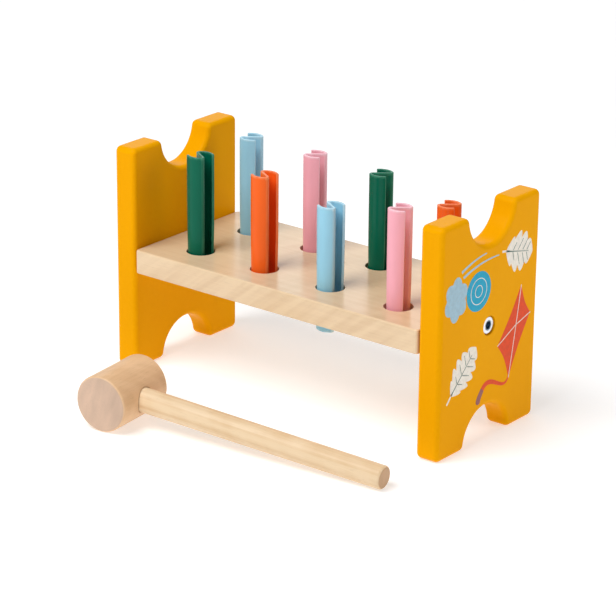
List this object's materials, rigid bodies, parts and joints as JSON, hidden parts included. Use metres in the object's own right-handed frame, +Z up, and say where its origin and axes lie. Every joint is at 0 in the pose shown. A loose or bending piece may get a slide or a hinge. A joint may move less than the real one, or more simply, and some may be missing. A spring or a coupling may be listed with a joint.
{
  "type": "toy hammering bench",
  "caption": "Toy hammering bench: arched end panels hold a wooden plank whose holes grip springy slotted pegs, with a separate round-headed wooden mallet.",
  "frame": {"origin": "on the floor under the middle of the whole set, bench and mallet together", "axes": "+X along the plank to the right, +Y from the mallet towards the bench (back), +Z up"},
  "size_m": [0.276, 0.2097, 0.16],
  "materials": {
    "yellow_paint": "satin yellow paint over smooth wood",
    "plank_wood": "clear satin lacquer on pale birch",
    "dowel_wood": "bare beech",
    "head_wood": "clear matt lacquer on pinkish beech",
    "handle_wood": "clear matt lacquer on pale wood",
    "steel": "plated",
    "peg_green": "smooth moulded",
    "peg_orange": "smooth moulded",
    "peg_blue": "smooth moulded",
    "peg_pink": "smooth moulded"
  },
  "bodies": {
    "bench": {"end_panel_left": "yellow_paint", "end_panel_right": "yellow_paint", "bench_plank": "plank_wood", "screw_left": "steel", "screw_right": "steel", "dowel_left_front": "dowel_wood", "dowel_left_back": "dowel_wood", "dowel_right_front": "dowel_wood", "dowel_right_back": "dowel_wood"},
    "peg_front_green": {"peg_front_green": "peg_green"},
    "peg_front_orange": {"peg_front_orange": "peg_orange"},
    "peg_front_blue": {"peg_front_blue": "peg_blue"},
    "peg_front_pink": {"peg_front_pink": "peg_pink"},
    "peg_back_blue": {"peg_back_blue": "peg_blue"},
    "peg_back_pink": {"peg_back_pink": "peg_pink"},
    "peg_back_green": {"peg_back_green": "peg_green"},
    "peg_back_orange": {"peg_back_orange": "peg_orange"},
    "mallet": {"mallet_head": "head_wood", "mallet_handle": "handle_wood"}
  },
  "joints": [
    {"name": "peg_front_green_slide", "type": "slide", "parent": "bench", "child": "peg_front_green", "axis": [0, 0, 1], "range_m": [-0.0695, 0.001]},
    {"name": "peg_front_orange_slide", "type": "slide", "parent": "bench", "child": "peg_front_orange", "axis": [0, 0, 1], "range_m": [-0.0675, 0.003]},
    {"name": "peg_front_blue_slide", "type": "slide", "parent": "bench", "child": "peg_front_blue", "axis": [0, 0, 1], "range_m": [-0.058, 0.0125]},
    {"name": "peg_front_pink_slide", "type": "slide", "parent": "bench", "child": "peg_front_pink", "axis": [0, 0, 1], "range_m": [-0.0685, 0.002]},
    {"name": "peg_back_blue_slide", "type": "slide", "parent": "bench", "child": "peg_back_blue", "axis": [0, 0, 1], "range_m": [-0.0695, 0.001]},
    {"name": "peg_back_pink_slide", "type": "slide", "parent": "bench", "child": "peg_back_pink", "axis": [0, 0, 1], "range_m": [-0.0685, 0.002]},
    {"name": "peg_back_green_slide", "type": "slide", "parent": "bench", "child": "peg_back_green", "axis": [0, 0, 1], "range_m": [-0.0665, 0.004]},
    {"name": "peg_back_orange_slide", "type": "slide", "parent": "bench", "child": "peg_back_orange", "axis": [0, 0, 1], "range_m": [-0.0565, 0.014]},
    {"name": "mallet_lift", "type": "slide", "parent": "bench", "child": "mallet", "axis": [0, 0, 1], "range_m": [0, 0.2]}
  ]
}
